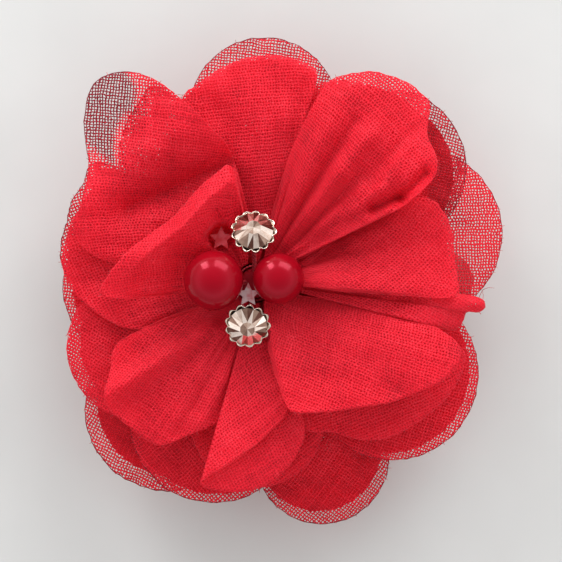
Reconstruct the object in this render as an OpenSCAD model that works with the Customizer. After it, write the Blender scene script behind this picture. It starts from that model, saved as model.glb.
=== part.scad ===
// Chiffon flower hair clip: four rounds of gathered petals with a cluster of pearls and
// rhinestones, glued on a sprung alligator clip. Z is up out of the flower, X runs along the
// clip towards its tip, and the origin is under the middle of the flower, where the clip rests.

/* [Flower] */
// Reach of the longest petals from the flower's heart
petal_reach = 26.0; // [22:0.5:27]
// Thickness of a petal with its gathers
petal_t = 0.3; // [0.2:0.05:0.35]
// Height between two neighbouring petals at the heart
level_step = 0.45; // [0.42:0.01:0.6]
// Extra height between two neighbouring petals at their rims
level_fan = 0.95; // [0.5:0.05:1.2]
// How far the rims of the petals hang down
rim_droop = 2.0; // [0:0.1:2.4]
// Radius of the felt disc
felt_r = 12; // [9:0.5:14]
// Thickness of the felt disc
felt_t = 0.9; // [0.6:0.1:1.5]

/* [Beads] */
// Diameter of the larger pearl
pearl_large_d = 6.0; // [5:0.1:6.2]
// Diameter of the smaller pearl
pearl_small_d = 5.2; // [4.5:0.1:5.4]
// Diameter of a rhinestone at its girdle
stone_d = 3.9; // [3:0.1:4.1]
// Tilt of each rhinestone away from the heart, in degrees
stone_tilt = 16; // [0:1:20]

/* [Clip] */
// Length of the clip
clip_l = 40; // [36:1:42]
// Width of the upper jaw
blade_w = 6.5; // [6:0.1:8]
// Thickness of the sheet steel
sheet_t = 0.5; // [0.4:0.05:0.6]
// Height of the top of the upper jaw above the lever's rest pad
clip_h = 6.0; // [5.9:0.1:7]
// Radius of the hinge pin
pin_r = 0.6; // [0.5:0.05:0.65]
// Radius of the spring's wire
wire_r = 0.28; // [0.2:0.01:0.3]

/* [Hidden] */
heart_x = -2.5;
heart_y = -0.15;
heart_r = 2.0;            // where a petal's gathered root ends
tip_x = clip_l / 2;
blade_z = clip_h - sheet_t;
pivot_x = -7;
pivot_z = blade_z - 2.1;
glue_t = 0.3;
felt_z = clip_h + glue_t;
petal_z = felt_z + felt_t + 0.3;
levels = 8;
core_r = 1.5;
core_z = petal_z + levels * level_step + 0.55;
fine = 64;

// One row per petal: name, direction, half of its spread, reach as a share of petal_reach, level.
PETALS = [
    ["outer_petal_top",          87, 27, 0.97, 0],
    ["outer_petal_right",        15, 28, 1.00, 0],
    ["outer_petal_low_right",   291, 27, 1.00, 0],
    ["outer_petal_low_left",    233, 27, 0.92, 0],
    ["outer_petal_left",        161, 27, 0.79, 0],
    ["under_petal_top_left",    120, 26, 0.84, 1],
    ["under_petal_top_right",    41, 27, 0.99, 1],
    ["under_petal_right",       326, 30, 1.00, 1],
    ["under_petal_bottom",      258, 24, 0.88, 1],
    ["under_petal_left",        185, 27, 0.76, 1],
    ["middle_petal_low_left",   206, 25, 0.82, 2],
    ["middle_petal_top_right",   57, 20, 0.91, 2],
    ["middle_petal_low_right",  318, 34, 0.88, 3],
    ["middle_petal_bottom",     271, 22, 0.82, 2],
    ["middle_petal_top",         91, 27, 0.89, 3],
    ["middle_petal_left",       187, 28, 0.76, 3],
    ["middle_petal_right",      352, 14, 0.87, 4],
    ["inner_petal_low_left",    226, 29, 0.76, 4],
    ["inner_petal_top_left",    129, 36, 1.00, 4],
    ["inner_petal_top_right",    51, 26, 0.97, 6],
    ["inner_petal_bottom",      266, 24, 0.80, 5],
    ["inner_petal_right",        16, 27, 0.79, 5],
    ["inner_petal_low_right",   318, 36, 0.84, 6],
    ["inner_petal_curled",      146, 42, 0.58, 7],
];

HARDWARE = [
    "upper_jaw", "lower_jaw", "hinge_pin", "jaw_spring", "glue_pad", "felt_backing",
    "glue_core", "gather_thread", "bead_stems", "pearl_large", "pearl_small",
    "rhinestone_upper", "rhinestone_lower", "cup_upper", "cup_lower",
    "star_bead_front", "star_bead_side",
];

// Places of the beads, and where the stem of each one leaves the glue.
core_top = [heart_x, heart_y, core_z];
pearl_large_at = core_top + [-4.1, 0.3, 3.1];
pearl_large_root = core_top + [-0.7, 0.1, -0.4];
pearl_small_at = core_top + [2.4, 0.45, 2.7];
pearl_small_root = core_top + [0.7, 0.3, -0.4];
stone_upper_at = core_top + [-0.1, 5.25, 3.0];
stone_upper_root = core_top + [-0.1, 0.6, -0.4];
stone_lower_at = core_top + [-0.7, -4.35, 3.0];
stone_lower_root = core_top + [0.3, -0.7, -0.4];
star_front_at = core_top + [-0.65, -1.2, 1.0];
star_side_at = core_top + [-3.4, 4.5, 0.15];
stone_r = stone_d / 2;
cup_r = stone_r + 0.35;
cup_h = 1.9;
stem_r = 0.28;

// ---------- petals ----------

// Share of the rim's rise that a point has at distance r from the heart.
function rise(r) = pow(sin(90 * min(1, max(0, (r - heart_r) / 22))), 2);

// Height of a petal's middle surface at distance r from the heart.
function petal_height(r, level) =
    petal_z + level * (level_step + level_fan * rise(r))
    - rim_droop * pow(r / petal_reach, 4);

// Distance of the rim from the heart; side runs from -1 to 1 across the petal.
function rim(side, reach) = reach * (0.34 + 0.66 * sqrt(max(0, 1 - pow(abs(side), 2.4))));

function petal_point(p, along, side, dz) =
    let (
        r = heart_r + along * (rim(side, p[3] * petal_reach) - heart_r),
        a = p[1] + side * p[2]
    )
    [heart_x + r * cos(a), heart_y + r * sin(a), petal_height(r, p[4]) + dz];

// One petal: a thin, round-ended sheet that narrows to its gathered root.
module petal(p) {
    rows = 5;
    cols = 10;
    face = (rows + 1) * (cols + 1);
    points = [
        for (dz = [-petal_t / 2, petal_t / 2], i = [0:rows], j = [0:cols])
            petal_point(p, i / rows, sin(90 * (2 * j / cols - 1)), dz)
    ];
    function at(side, i, j) = side * face + i * (cols + 1) + j;
    under = [
        for (i = [0:rows - 1], j = [0:cols - 1], half = [0, 1])
            half == 0 ? [at(0, i, j), at(0, i + 1, j), at(0, i + 1, j + 1)]
                      : [at(0, i, j), at(0, i + 1, j + 1), at(0, i, j + 1)]
    ];
    over = [for (f = under) [f[2] + face, f[1] + face, f[0] + face]];
    edge = concat(
        [for (j = [0:cols]) at(0, 0, j)],
        [for (i = [1:rows]) at(0, i, cols)],
        [for (j = [1:cols]) at(0, rows, cols - j)],
        [for (i = [1:rows - 1]) at(0, rows - i, 0)]
    );
    n = len(edge);
    wall = [
        for (k = [0:n - 1], half = [0, 1])
            let (a = edge[k], b = edge[(k + 1) % n])
            half == 0 ? [a, b, b + face] : [a, b + face, a + face]
    ];
    color("crimson") polyhedron(points, concat(under, over, wall));
}

// ---------- beads ----------

// Places its children at a point, with their Z axis along a direction.
module aim(at, along) {
    side = norm([along[0], along[1]]);
    translate(at)
        rotate([0, atan2(side, along[2]), atan2(along[1], along[0])])
            children();
}

// A round bead with a blind hole that takes its stem.
module pearl(at, d, root) {
    color("darkred") difference() {
        translate(at) sphere(d = d, $fn = fine);
        aim(at, root - at) cylinder(r = stem_r + 0.05, h = d, $fn = 24);
    }
}

// A faceted glass stone: flat table, crown and pointed pavilion.
module rhinestone(at, tilt) {
    color("whitesmoke") translate(at) rotate([tilt, 0, 0]) {
        cylinder(r1 = stone_r, r2 = 0.56 * stone_r, h = 0.7, $fn = 8);
        translate([0, 0, -0.2]) cylinder(r = stone_r, h = 0.2, $fn = 8);
        translate([0, 0, -1.4]) cylinder(r1 = 0.05, r2 = stone_r, h = 1.2, $fn = 8);
    }
}

// The metal setting: a thin cone with a flat floor, open at the top.
module cup(at, tilt) {
    wall = 0.15;
    color("silver") translate(at) rotate([tilt, 0, 0])
        rotate_extrude($fn = fine)
            polygon([
                [0, -cup_h], [0.9, -cup_h], [cup_r + wall, 0.05], [cup_r, 0.05],
                [0.8, -cup_h + wall], [0, -cup_h + wall]
            ]);
}

// A small clear bead: a flat five-pointed star on a short round post.
module star_bead(at, post) {
    color("mistyrose", 0.6) translate(at) {
        linear_extrude(0.35)
            polygon([
                for (k = [0:9])
                    let (r = k % 2 == 0 ? 1.25 : 0.6)
                    r * [sin(36 * k), cos(36 * k)]
            ]);
        translate([0, 0, -post]) cylinder(r = 0.3, h = post, $fn = 24);
    }
}

module stem(from, to, stop) {
    reach = to - from;
    aim(from, reach) cylinder(r = stem_r, h = norm(reach) - stop, $fn = 24);
}

// Middle of the floor of a tilted cup.
function cup_floor(at, tilt) = at + cup_h * [0, sin(tilt), -cos(tilt)];

// Wires that hold the pearls and the settings up from the glue.
module bead_stems() {
    color("silver") {
        stem(pearl_large_root, pearl_large_at, 0.6);
        stem(pearl_small_root, pearl_small_at, 0.6);
        stem(stone_upper_root, cup_floor(stone_upper_at, -stone_tilt), 0.55);
        stem(stone_lower_root, cup_floor(stone_lower_at, stone_tilt), 0.55);
    }
}

// ---------- heart of the flower ----------

// Set glue that fills the heart and holds the stems.
module glue_core() {
    color("mistyrose") translate([heart_x, heart_y, felt_z + felt_t])
        cylinder(r = core_r, h = core_z - felt_z - felt_t, $fn = fine);
}

// Turns of sewing thread round the gathered roots.
module gather_thread() {
    turns = 7;
    color("firebrick")
        for (k = [0:turns - 1])
            translate([heart_x, heart_y, petal_z + k * (core_z - petal_z) / turns])
                rotate_extrude($fn = fine)
                    translate([core_r + 0.22, 0]) circle(r = 0.17, $fn = 24);
}

module felt_backing() {
    color("darkred") translate([heart_x, heart_y, felt_z])
        cylinder(r = felt_r, h = felt_t, $fn = fine);
}

// Glue between the clip and the felt.
module glue_pad() {
    pad_l = 2 * felt_r - 4;
    color("oldlace") translate([heart_x, 0, clip_h])
        linear_extrude(glue_t) slot_outline(pad_l, blade_w - 0.6);
}

// ---------- clip ----------

// A rectangle with round ends, centred on the origin.
module slot_outline(length, width) {
    square([length - width, width], center = true);
    for (s = [-1, 1])
        translate([s * (length - width) / 2, 0]) circle(d = width, $fn = fine);
}

// Turns an outline drawn in X and Z into a plate of the given thickness, centred on y.
module plate(y, thickness) {
    translate([0, y + thickness / 2, 0]) rotate([90, 0, 0])
        linear_extrude(thickness) children();
}

ear_r = 1.4;
ear_y = (blade_w - sheet_t) / 2;
lower_w = blade_w - 2 * sheet_t - 0.3;
lower_ear_y = (lower_w - sheet_t) / 2;
lower_ear_r = 1.3;
belly_x = 3.5;            // lowest point of the bowed prong
prong_root_x = pivot_x + 3;
prong_tip = [tip_x - 3, blade_z - 1.55];

// Flat blade with two folded ears for the pin and a row of teeth at its tip.
module upper_jaw() {
    teeth = 4;
    tooth_w = 1.2;
    color("silver") {
        translate([0, 0, blade_z]) linear_extrude(sheet_t) slot_outline(clip_l, blade_w);
        for (s = [-1, 1])
            plate(s * ear_y, sheet_t) difference() {
                union() {
                    polygon([
                        [pivot_x - 3.2, blade_z], [pivot_x - ear_r, pivot_z],
                        [pivot_x + ear_r, pivot_z], [pivot_x + 3.2, blade_z]
                    ]);
                    translate([pivot_x, pivot_z]) circle(r = ear_r, $fn = fine);
                }
                translate([pivot_x, pivot_z]) circle(r = pin_r, $fn = fine);
            }
        translate([tip_x - 1.8, 0, 0]) rotate([90, 0, 90]) linear_extrude(sheet_t)
            polygon(concat(
                [[-teeth * tooth_w / 2, blade_z]],
                [for (k = [0:2 * teeth])
                    [(k - teeth) * tooth_w / 2, blade_z - (k % 2 == 0 ? 0.35 : 0.95)]],
                [[teeth * tooth_w / 2, blade_z]]
            ));
    }
}

// Height of the top of the prong, which bows down to the rest plane like a shallow parabola.
function prong_z(x) =
    sheet_t + (prong_tip[1] - sheet_t) * pow((x - belly_x) / (prong_tip[0] - belly_x), 2);

// Top of the lower jaw's strip, from the lever's pad to the tip.
lever_run = concat(
    [[-tip_x, sheet_t], [-tip_x + 3.8, sheet_t], [pivot_x - 1.4, prong_z(prong_root_x)]],
    [for (k = [0:12])
        let (x = prong_root_x + (prong_tip[0] - prong_root_x) * k / 12)
        [x, prong_z(x)]],
    [[tip_x - 1, blade_z - 1.15]]
);

// Lever, ears and bowed prong, bent from one strip.
module lower_jaw() {
    n = len(lever_run);
    color("silver") {
        intersection() {
            plate(0, lower_w)
                polygon(concat(
                    lever_run,
                    [for (k = [1:n]) lever_run[n - k] - [0, sheet_t]]
                ));
            linear_extrude(blade_z) slot_outline(clip_l - 0.3, lower_w);
        }
        for (s = [-1, 1])
            plate(s * lower_ear_y, sheet_t) difference() {
                union() {
                    polygon([
                        [pivot_x - 1.35, prong_z(prong_root_x) - 0.2],
                        [pivot_x + 2.9, prong_z(prong_root_x) - 0.2],
                        [pivot_x + lower_ear_r, pivot_z], [pivot_x - lower_ear_r, pivot_z]
                    ]);
                    translate([pivot_x, pivot_z]) circle(r = lower_ear_r, $fn = fine);
                }
                translate([pivot_x, pivot_z]) circle(r = pin_r + 0.05, $fn = fine);
            }
    }
}

// Riveted pin through all four ears.
module hinge_pin() {
    half = blade_w / 2;
    head = 0.35;
    color("silver") translate([pivot_x, 0, pivot_z]) rotate([90, 0, 0])
        rotate_extrude($fn = fine)
            polygon([
                [0, -half - head], [0.8, -half - head], [1.0, -half], [pin_r, -half],
                [pin_r, half], [1.0, half], [0.8, half + head], [0, half + head]
            ]);
}

coil_r = 1.15;
coil_turns = 5;
coil_pitch = 0.64;
leg_upper_end = [pivot_x - 8, blade_z - wire_r - 0.06];
leg_lower_end = [pivot_x - 8, 1.0];

// Centreline of the spring: upper leg, coil round the pin, lower leg.
function spring_line() = let (
    half = coil_turns * coil_pitch / 2,
    steps = 12 * coil_turns + 6
) concat(
    [[leg_upper_end[0], -half, leg_upper_end[1]]],
    [for (k = [0:steps])
        let (turn = 30 * k)
        [pivot_x + coil_r * sin(turn), -half + 2 * half * k / steps, pivot_z + coil_r * cos(turn)]],
    [[leg_lower_end[0], half, leg_lower_end[1]]]
);

// A round wire swept along a line of points.
module wire(line, r) {
    sides = 8;
    n = len(line);
    rings = [
        for (k = [0:n - 1])
            let (
                ahead = line[min(n - 1, k + 1)] - line[max(0, k - 1)],
                t = ahead / norm(ahead),
                u = [0, 1, 0] - t * t[1],
                v = u / norm(u),
                w = cross(t, v)
            )
            for (s = [0:sides - 1])
                line[k] + r * (cos(360 * s / sides) * v + sin(360 * s / sides) * w)
    ];
    walls = [
        for (k = [0:n - 2], s = [0:sides - 1], half = [0, 1])
            let (a = k * sides + s, b = k * sides + (s + 1) % sides)
            half == 0 ? [a, a + sides, b + sides] : [a, b + sides, b]
    ];
    caps = [
        [for (s = [0:sides - 1]) s],
        [for (s = [0:sides - 1]) (n - 1) * sides + sides - 1 - s]
    ];
    polyhedron(rings, concat(walls, caps));
}

module jaw_spring() {
    color("silver") wire(spring_line(), wire_r);
}

upper_jaw();
lower_jaw();
hinge_pin();
jaw_spring();
glue_pad();
felt_backing();
glue_core();
gather_thread();
bead_stems();
pearl(pearl_large_at, pearl_large_d, pearl_large_root);  // pearl_large
pearl(pearl_small_at, pearl_small_d, pearl_small_root);  // pearl_small
rhinestone(stone_upper_at, -stone_tilt);  // rhinestone_upper
rhinestone(stone_lower_at, stone_tilt);  // rhinestone_lower
cup(stone_upper_at, -stone_tilt);  // cup_upper
cup(stone_lower_at, stone_tilt);  // cup_lower
star_bead(star_front_at, 1.0);  // star_bead_front
star_bead(star_side_at, 0.4);  // star_bead_side
for (p = PETALS)
    petal(p);
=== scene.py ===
"""Looks of a chiffon flower hair clip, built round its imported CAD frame.

Shapes are worked out in millimetres about the flower's heart and written as meshes in metres.
"""

import math
from collections import namedtuple

import bmesh
import bpy
import numpy as np
from mathutils import Matrix, Vector, noise


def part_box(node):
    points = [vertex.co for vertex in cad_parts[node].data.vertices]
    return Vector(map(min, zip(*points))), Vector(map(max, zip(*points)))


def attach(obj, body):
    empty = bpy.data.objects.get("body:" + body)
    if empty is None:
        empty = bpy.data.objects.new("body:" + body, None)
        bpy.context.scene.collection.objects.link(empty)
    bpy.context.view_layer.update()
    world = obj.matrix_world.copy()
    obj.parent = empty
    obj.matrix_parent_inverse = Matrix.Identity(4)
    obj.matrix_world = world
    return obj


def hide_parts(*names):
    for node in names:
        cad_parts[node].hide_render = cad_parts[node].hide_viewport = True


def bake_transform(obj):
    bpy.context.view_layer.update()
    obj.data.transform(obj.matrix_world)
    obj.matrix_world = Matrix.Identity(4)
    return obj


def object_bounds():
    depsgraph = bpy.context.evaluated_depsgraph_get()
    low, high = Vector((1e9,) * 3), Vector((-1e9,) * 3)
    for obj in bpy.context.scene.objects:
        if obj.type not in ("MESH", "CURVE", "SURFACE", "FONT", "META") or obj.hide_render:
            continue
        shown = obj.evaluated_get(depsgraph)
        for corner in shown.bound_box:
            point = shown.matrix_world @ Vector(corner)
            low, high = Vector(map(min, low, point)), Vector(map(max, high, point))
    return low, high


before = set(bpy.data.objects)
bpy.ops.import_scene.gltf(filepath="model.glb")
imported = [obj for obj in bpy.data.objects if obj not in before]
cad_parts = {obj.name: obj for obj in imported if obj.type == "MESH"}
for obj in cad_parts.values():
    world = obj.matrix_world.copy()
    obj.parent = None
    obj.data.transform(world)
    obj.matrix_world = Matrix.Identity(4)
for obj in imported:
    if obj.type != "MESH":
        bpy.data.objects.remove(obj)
cad_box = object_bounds()
scene = bpy.context.scene

MM = 0.001
SEED = 7
noise.seed_set(SEED)

# ---- places taken from the frame, in millimetres ----


def box_mm(node):
    """Lowest and highest corner of a CAD node."""
    low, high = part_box(node)
    return np.array(low) / MM, np.array(high) / MM


def centre_mm(node):
    """Middle of a CAD node."""
    low, high = box_mm(node)
    return (low + high) / 2


def radius_mm(node):
    """Half the width of a CAD node."""
    low, high = box_mm(node)
    return (high[0] - low[0]) / 2


HEART = centre_mm("glue_core")[:2]
PETAL_Z = box_mm("felt_backing")[1][2] + 0.3
ROOT_R = 2.05
REACH = 26.0
# One level of petals lies LEVEL_STEP above the last at the root, and LEVEL_FAN more at FAN_REACH
# beyond it. A rim at full reach droops by RIM_DROOP.
LEVEL_STEP = 0.45
LEVEL_FAN = 0.95
FAN_REACH = 22
RIM_DROOP = 2.0

# ---- petals ----

# Each petal's grid: points from root to rim and from side to side, and their shares of the way.
ROWS = 53
COLS = 89
OUT = np.linspace(0, 1, ROWS)
SIDE = np.linspace(0, 1, COLS)
CLOTH_T = 0.08
WRINKLES = 6

# name, level in the pile, rim as (direction, reach, lift), folds as (start, end, height, width)
# between points (direction, reach), crown of the middle, depth of the gathers, waviness of the rim,
# share of the way out to a curled petal's ridge, rim point at which a folded petal doubles back,
# reach of the lining if there is one, openness of the weave towards the rim (below 0 it is closer),
# and direction of the threads, random if it isn't given. The lining's reach and the openness are
# one share, or shares by direction. Directions are in degrees about the heart.
Petal = namedtuple(
    "Petal",
    "name level rim folds crown gather ruffle shoulder turn lining sheer weave",
    defaults=[(), 0.8, 0.16, 0.5, None, None, None, 0, None],
)


def lobe(direction, centre, radius, raised=0.0):
    """Rim of a round petal: the arc of a circle between the two lines that touch it from the heart,
    with a shoulder on each side that stays under the petals above."""
    touch = math.degrees(math.asin(radius / centre))
    shoulder = [(touch + 17, 8.5, -0.4), (touch + 14, 14, -0.3)]
    rim = [(direction - side, reach, lift) for side, reach, lift in shoulder]
    for turn in np.radians(np.linspace(-100, 100, 11)):
        x = centre + radius * math.cos(turn)
        y = radius * math.sin(turn)
        rim.append((direction + math.degrees(math.atan2(y, x)), math.hypot(x, y), raised))
    return rim + [(direction + side, reach, lift) for side, reach, lift in shoulder[::-1]]


PETALS = [
    Petal("outer_petal_top", 0, lobe(87, 17.7, 7.7), ruffle=.7, sheer=.85, weave=-8),
    Petal("outer_petal_right", 0, lobe(17, 17.5, 8.8), ruffle=.7, sheer=.5, weave=2),
    Petal("outer_petal_low_right", 0, lobe(291, 19.3, 6.9), ruffle=.7, lining=.945, sheer=.8),
    Petal("outer_petal_low_left", 0, lobe(235, 15.8, 8.5), ruffle=.7, lining=.93, sheer=.8),
    Petal("outer_petal_left", 0,
        [(137, 12, 0), (139, 17.5, 0), (143.5, 20.8, 0), (150, 20.5, 0), (156, 20.7, 0), (163, 20.4, 0),
         (170, 20.4, 0), (178, 19.3, 0), (184, 15.5, 0), (186, 11, 0)],
        lining=.95, sheer=.8),
    Petal("under_petal_top_left", 1, lobe(119, 14.2, 6.5), sheer=.3),
    Petal("under_petal_top_right", 1, lobe(41, 18, 8, raised=1.8), lining=.94, sheer=.9, weave=-15),
    Petal("under_petal_right", 1, lobe(326.5, 17, 8.8), lining=.96, sheer=.5),
    Petal("under_petal_bottom", 1, lobe(253, 14.6, 8.6), lining=.96, sheer=.6),
    Petal("under_petal_left", 1, lobe(182, 12, 7.7), lining=.95, sheer=.6),
    Petal("middle_petal_low_left", 2, lobe(209, 13.5, 7.4), lining=.93),
    Petal("middle_petal_top_right", 2, lobe(57, 16, 7.2), lining=.95),
    Petal("middle_petal_bottom", 2, lobe(271, 14, 6.8), lining=.95),
    Petal("middle_petal_low_right", 3,
        [(284, 9, -.3), (286, 12, 0), (289, 15.7, 0), (297, 17, 0), (305, 19.5, 0), (311, 20.8, 0),
         (316, 21.4, 0), (325, 22.4, 0), (333, 22.9, 0), (338, 22.9, 0), (342, 22.3, -.2),
         (346, 19, -.4), (348, 13, -.6)],
        lining=.97),
    Petal("middle_petal_top", 3,
        [(71, 9, -.6), (73, 17, -.3), (73.2, 22, 0), (76.8, 22.9, 0), (84, 23.3, 0), (92, 22.9, 0),
         (98.6, 22.2, 0), (105.7, 21.1, 0), (111, 20.3, 0), (117, 17.5, -.5), (119, 12, -.8)],
        folds=[((75.4, 20.7), (70, 7.9), -.6, 1.2)], gather=.1, lining=.985, weave=3),
    Petal("middle_petal_left", 3,
        [(150, 12, 0), (153, 18, 0), (160, 19.6, 0), (168, 19.7, 0), (175, 19.7, 0), (182, 18.6, 0),
         (186, 17.6, 0), (193, 15.7, 0), (200, 13.6, 0), (204, 11, 0), (206, 8.2, 0)],
        lining=.97),
    Petal("inner_petal_low_left", 4,
        [(201, 8, -.5), (202, 12, -.2), (203.5, 15, 0), (207, 16.2, .2), (211, 17, .3), (217, 19, 1),
         (221, 19.4, .6), (226, 19.3, .2), (233, 19.3, 0), (240, 19, 0), (247, 16.6, -.2),
         (252.6, 15.3, -.5), (258, 13.6, -.7), (262, 11, -.9), (262, 8, -.9)],
        folds=[((217, 18.8), (228, 6), .75, .9), ((225, 17), (231, 7), -.35, .9),
         ((243, 17), (247, 6.5), -.5, .6), ((249, 15), (255, 6), .4, .6)], gather=.16, lining=.97,
        weave=55),
    Petal("inner_petal_bottom", 5,
        [(289, 8, -1.6), (289.5, 12, -1.8), (289, 15.7, -1.8), (282, 18.5, -1.6), (275, 20.1, -1.4),
         (269, 21, -1.2), (261, 21.3, -.9), (256.5, 21.2, -.5), (254.7, 20.9, 0), (256, 20.3, .3),
         (261, 18.7, .5), (269, 16.6, .5), (277, 14.9, .4), (285, 13, .2), (283.5, 10, 0),
         (282, 7, -.2)],
        gather=.08, turn=8, sheer=-.3, weave=42),
    Petal("inner_petal_low_right", 6,
        [(281.5, 7.1, -.4), (283, 10, -.3), (285, 13, 0), (289, 13.8, 0), (294, 14.2, .2),
         (302, 15.2, .3), (310, 16.3, .3), (318, 17.9, .3), (326, 19.7, .2), (331, 20.9, .1),
         (335, 21.7, 0), (339, 22, -.2), (343, 21.5, -.6), (346, 19.2, -1), (349, 15.6, -1.3),
         (348.5, 12, -1.3), (347, 8.7, -1)],
        gather=.06, lining=.97, weave=-15),
    Petal("middle_petal_right", 4,
        [(4, 10, -1.2), (1, 15, -1.2), (-2, 19.5, -1.1), (-6, 21.6, -1), (-10, 21, -.8),
         (-13, 20.4, -.5), (-13.2, 20.9, -.3), (-10.5, 21.4, 0), (-7.6, 21.7, .4), (-7.4, 22.8, .8),
         (-5.7, 23.4, 1), (-3.8, 22.8, .9), (-2.9, 20.6, .5), (-1, 18, .3), (1, 12, .2)],
        folds=[((-5.3, 22.4), (-2.4, 9), .8, .7), ((-11, 20), (-6, 6), .3, .5)], turn=6, sheer=-.8),
    Petal("inner_petal_right", 5,
        [(-5.5, 9, -.5), (-4.7, 15, -.3), (-4, 20.1, 0), (1, 20.4, 0), (7, 20.3, 0), (14, 20.5, 0),
         (20, 20.4, 0), (24, 20, 0), (27, 19, 0), (30, 17, -.2), (34, 14.3, -.4), (38, 12, -.6),
         (39, 8, -.6)],
        folds=[((37, 12.3), (31.7, 6), .5, .8), ((30, 14), (24, 7), -.7, 1)], lining=.97, weave=48),
    Petal("inner_petal_top_left", 4,
        [(96, 5.5, -.4), (96.6, 8.3, 0), (100.5, 13.5, .3), (105.5, 16.2, .5), (112, 20.2, .8),
         (117, 23.4, .8), (123, 25.5, .5), (129, 26, .2), (136, 24.1, 0), (141, 22, 0), (145, 20.5, 0),
         (155, 19.3, 0), (165, 19, -.3), (171, 16, -.6), (173, 11, -.8)],
        folds=[((102, 12.5), (150, 15), -1.9, 1.6), ((112, 17.5), (155, 19), .7, 2.0)], gather=.1,
        lining=((108, .99), (119, .95), (125, .8), (150, .78), (166, .9)),
        sheer=((116, .1), (122, 1), (139, 1), (146, .2)), weave=0),
    Petal("inner_petal_curled", 7,
        [(98, 6, .6), (101, 11.8, 1.8), (110, 11.6, 2.4), (122, 11, 2.8), (132, 10.6, 2.9),
         (142, 10.6, 2.9), (155, 11.6, 2.4), (168, 13.4, 1.6), (180, 15.2, .4), (184.5, 15.4, 0),
         (187, 13, -.3), (188, 9, -.5)],
        shoulder=.83, crown=.2, sheer=-.15, weave=12),
    Petal("inner_petal_top_right", 6,
        [(76, 8, -2.5), (74.5, 14, -2.2), (71, 20.3, -1.6), (68.6, 22.2, -1.2), (64, 23.5, -.6),
         (60.5, 24.4, -.2), (55, 25.1, 0), (49.8, 25.4, 0), (45.5, 25.2, 0), (43, 23.8, .1),
         (40.5, 22.8, .6), (35.3, 22.2, 1.3), (32.5, 21.6, 1.7), (30.6, 20.8, 1.9), (28.4, 18.5, 2.1),
         (27.2, 15.8, 2.1), (29.2, 13.7, 1.7), (33.5, 12.6, 1), (37, 12.3, .6), (39, 9, 0),
         (39, 6, -.3)],
        folds=[((52, 18.5), (52.9, 5), .8, .8), ((58.4, 19), (58.2, 5), -.7, .6),
         ((65, 20.5), (64, 5), .6, .8), ((46, 15), (46, 5), -.5, .5), ((41, 14), (41, 5), .5, .6),
         ((32, 14.2), (30.4, 17), -1.7, .72), ((30.4, 17), (32.4, 20.4), -1.7, .72),
         ((36.8, 11.5), (36.2, 15.7), .7, .5), ((36.2, 15.7), (42, 21), .6, .5)], gather=.2,
        lining=.935, sheer=.1),
]


def norm(v):
    """Length of a vector, or of each vector in an array."""
    return np.linalg.norm(v, axis=-1)


def unit(v):
    """Vectors scaled to length 1."""
    return v / norm(v)[..., None]


def along(points, share):
    """Smooth curve through points (a Catmull-Rom spline) at each share of its run."""
    points = np.asarray(points, float)
    padded = np.concatenate([2 * points[:1] - points[1:2], points, 2 * points[-1:] - points[-2:-1]])
    place = np.clip(share, 0, 1) * (len(points) - 1)
    k = np.minimum(place.astype(int), len(points) - 2)
    t = (place - k).reshape((-1,) + (1,) * (points.ndim - 1))
    a, b, c, d = (padded[k + i] for i in range(4))
    return 0.5 * (2 * b + (c - a) * t + (2 * a - 5 * b + 4 * c - d) * t**2
                  + (3 * b - a - 3 * c + d) * t**3)


def polar(direction, reach):
    """Points about the heart, from directions in degrees."""
    direction = np.radians(direction)
    return np.stack([reach * np.cos(direction), reach * np.sin(direction)], -1)


def even_rim(rim, count):
    """The rim's outline and lift at points an even distance apart, and its run at each given point."""
    rim = np.asarray(rim, float)
    shape = np.concatenate([polar(rim[:, 0], rim[:, 1]), rim[:, 2:], rim[:, :1]], 1)
    fine = along(shape, np.linspace(0, 1, 40 * len(rim)))
    run = np.concatenate([[0], np.cumsum(norm(np.diff(fine[:, :3], axis=0)))])
    even = np.linspace(0, run[-1], count)
    points = np.stack([np.interp(even, run, fine[:, k]) for k in range(4)], -1)
    given = np.interp(np.linspace(0, 1, len(rim)), np.linspace(0, 1, len(fine)), run / run[-1])
    return points, given


def smooth(x):
    """Smooth step from 0 to 1 as x goes from 0 to 1."""
    x = np.clip(x, 0, 1)
    return x * x * (3 - 2 * x)


def pile_height(r, level):
    """Height of a petal of this level at distance r from the heart, as the CAD part has it."""
    rise = np.sin(np.pi / 2 * np.clip((r - ROOT_R) / FAN_REACH, 0, 1)) ** 2
    return PETAL_Z + level * (LEVEL_STEP + LEVEL_FAN * rise) - RIM_DROOP * (r / REACH) ** 4


def ripple(x, count, rng):
    """Uneven pleats along x from 0 to 1, between -1 and 1, with round ridges and tight valleys."""
    drift = sum(rng.uniform(-0.35, 0.35) * np.sin(np.pi * k * x + rng.uniform(0, 6)) for k in (1, 2, 3))
    depth = 0.65 + 0.35 * np.sin(np.pi * count * 0.37 * x + rng.uniform(0, 6))
    return depth * (2 * np.abs(np.sin(np.pi * (count * x + drift))) ** 0.8 - 1)


def fold_height(xy, start, end, height, width):
    """A ridge, or a valley when height is below 0, along a line between two polar points."""
    a, b = polar(*start), polar(*end)
    t = np.clip(((xy - a) @ (b - a)) / ((b - a) @ (b - a)), 0, 1)
    gap = norm(xy - (a + t[..., None] * (b - a)))
    tightness = 2.0 if height > 0 else 1.4
    return height * np.exp(-((gap / width) ** tightness))


def rim_lift(petal, rim, out):
    """Lift on the way out: up to the rim's own, or over a curled petal's ridge and down again."""
    if not petal.shoulder:
        return rim[:, 2] * out**1.6
    rise = np.clip(out / petal.shoulder, 0, 1) ** 1.42
    fall = np.clip((out - petal.shoulder) / (1 - petal.shoulder), 0, 1)
    return rim[:, 2] * (1.3 * rise - 0.8 * fall)


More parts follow.
